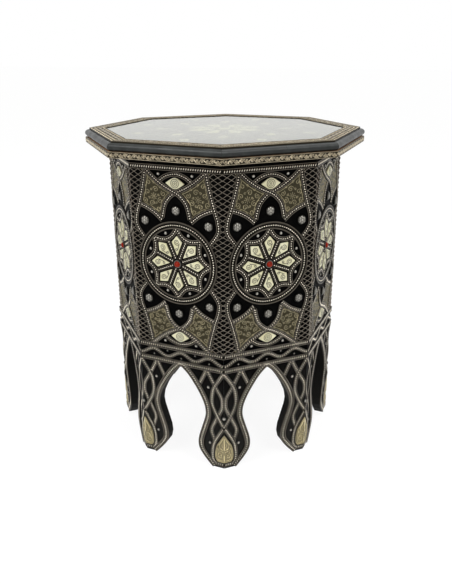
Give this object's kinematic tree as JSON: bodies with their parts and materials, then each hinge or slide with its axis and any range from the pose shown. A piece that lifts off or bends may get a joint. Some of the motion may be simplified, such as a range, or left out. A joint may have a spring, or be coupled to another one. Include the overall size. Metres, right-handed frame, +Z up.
{
  "type": "moroccan kursi stool",
  "caption": "Octagonal stool with metal strapwork and bone rosettes on black sides, pointed arches between bulb feet, and an overhanging top with glass over an inlaid panel.",
  "frame": {"origin": "on the floor, under the middle of the top", "axes": "+Z up; one face looks along -Y and the faces repeat every 45 degrees"},
  "size_m": [0.408, 0.408, 0.51],
  "materials": {
    "black_leather": "softwood board faced with black dyed leather, satin",
    "raw_wood": "plain sawn wood",
    "strap_metal": "antiqued white metal, pressed with edge ridges and a row of beads",
    "frieze_metal": "antiqued warm white metal pressed with scrolls",
    "border_metal": "wooden frame faced with pressed metal",
    "black_nosing": "black lacquer, satin",
    "brass_leaf": "pale pressed sheet brass",
    "bone_inlay": "engraved camel bone on a dark ground",
    "red_stone": "polished red cabochon",
    "clear_glass": "clear float glass with a polished edge"
  },
  "bodies": {
    "root": {"side_panel_1": "black_leather", "side_panel_2": "black_leather", "side_panel_3": "black_leather", "side_panel_4": "black_leather", "side_panel_5": "black_leather", "side_panel_6": "black_leather", "side_panel_7": "black_leather", "side_panel_8": "black_leather", "strapwork_1": "strap_metal", "strapwork_2": "strap_metal", "strapwork_3": "strap_metal", "strapwork_4": "strap_metal", "strapwork_5": "strap_metal", "strapwork_6": "strap_metal", "strapwork_7": "strap_metal", "strapwork_8": "strap_metal", "stone_1": "red_stone", "stone_2": "red_stone", "stone_3": "red_stone", "stone_4": "red_stone", "stone_5": "red_stone", "stone_6": "red_stone", "stone_7": "red_stone", "stone_8": "red_stone", "rim_moulding_1": "black_nosing", "rim_moulding_2": "black_nosing", "rim_moulding_3": "black_nosing", "rim_moulding_4": "black_nosing", "rim_moulding_5": "black_nosing", "rim_moulding_6": "black_nosing", "rim_moulding_7": "black_nosing", "rim_moulding_8": "black_nosing", "frieze_strip_1": "frieze_metal", "frieze_strip_2": "frieze_metal", "frieze_strip_3": "frieze_metal", "frieze_strip_4": "frieze_metal", "frieze_strip_5": "frieze_metal", "frieze_strip_6": "frieze_metal", "frieze_strip_7": "frieze_metal", "frieze_strip_8": "frieze_metal", "glue_block_1": "raw_wood", "glue_block_2": "raw_wood", "glue_block_3": "raw_wood", "glue_block_4": "raw_wood", "glue_block_5": "raw_wood", "glue_block_6": "raw_wood", "glue_block_7": "raw_wood", "glue_block_8": "raw_wood", "foot_leaf_1": "brass_leaf", "foot_leaf_2": "brass_leaf", "foot_leaf_3": "brass_leaf", "foot_leaf_4": "brass_leaf", "foot_leaf_5": "brass_leaf", "foot_leaf_6": "brass_leaf", "foot_leaf_7": "brass_leaf", "foot_leaf_8": "brass_leaf", "top_board": "raw_wood", "top_border": "border_metal", "inlaid_top": "bone_inlay", "glass_pane": "clear_glass"}
  },
  "joints": []
}
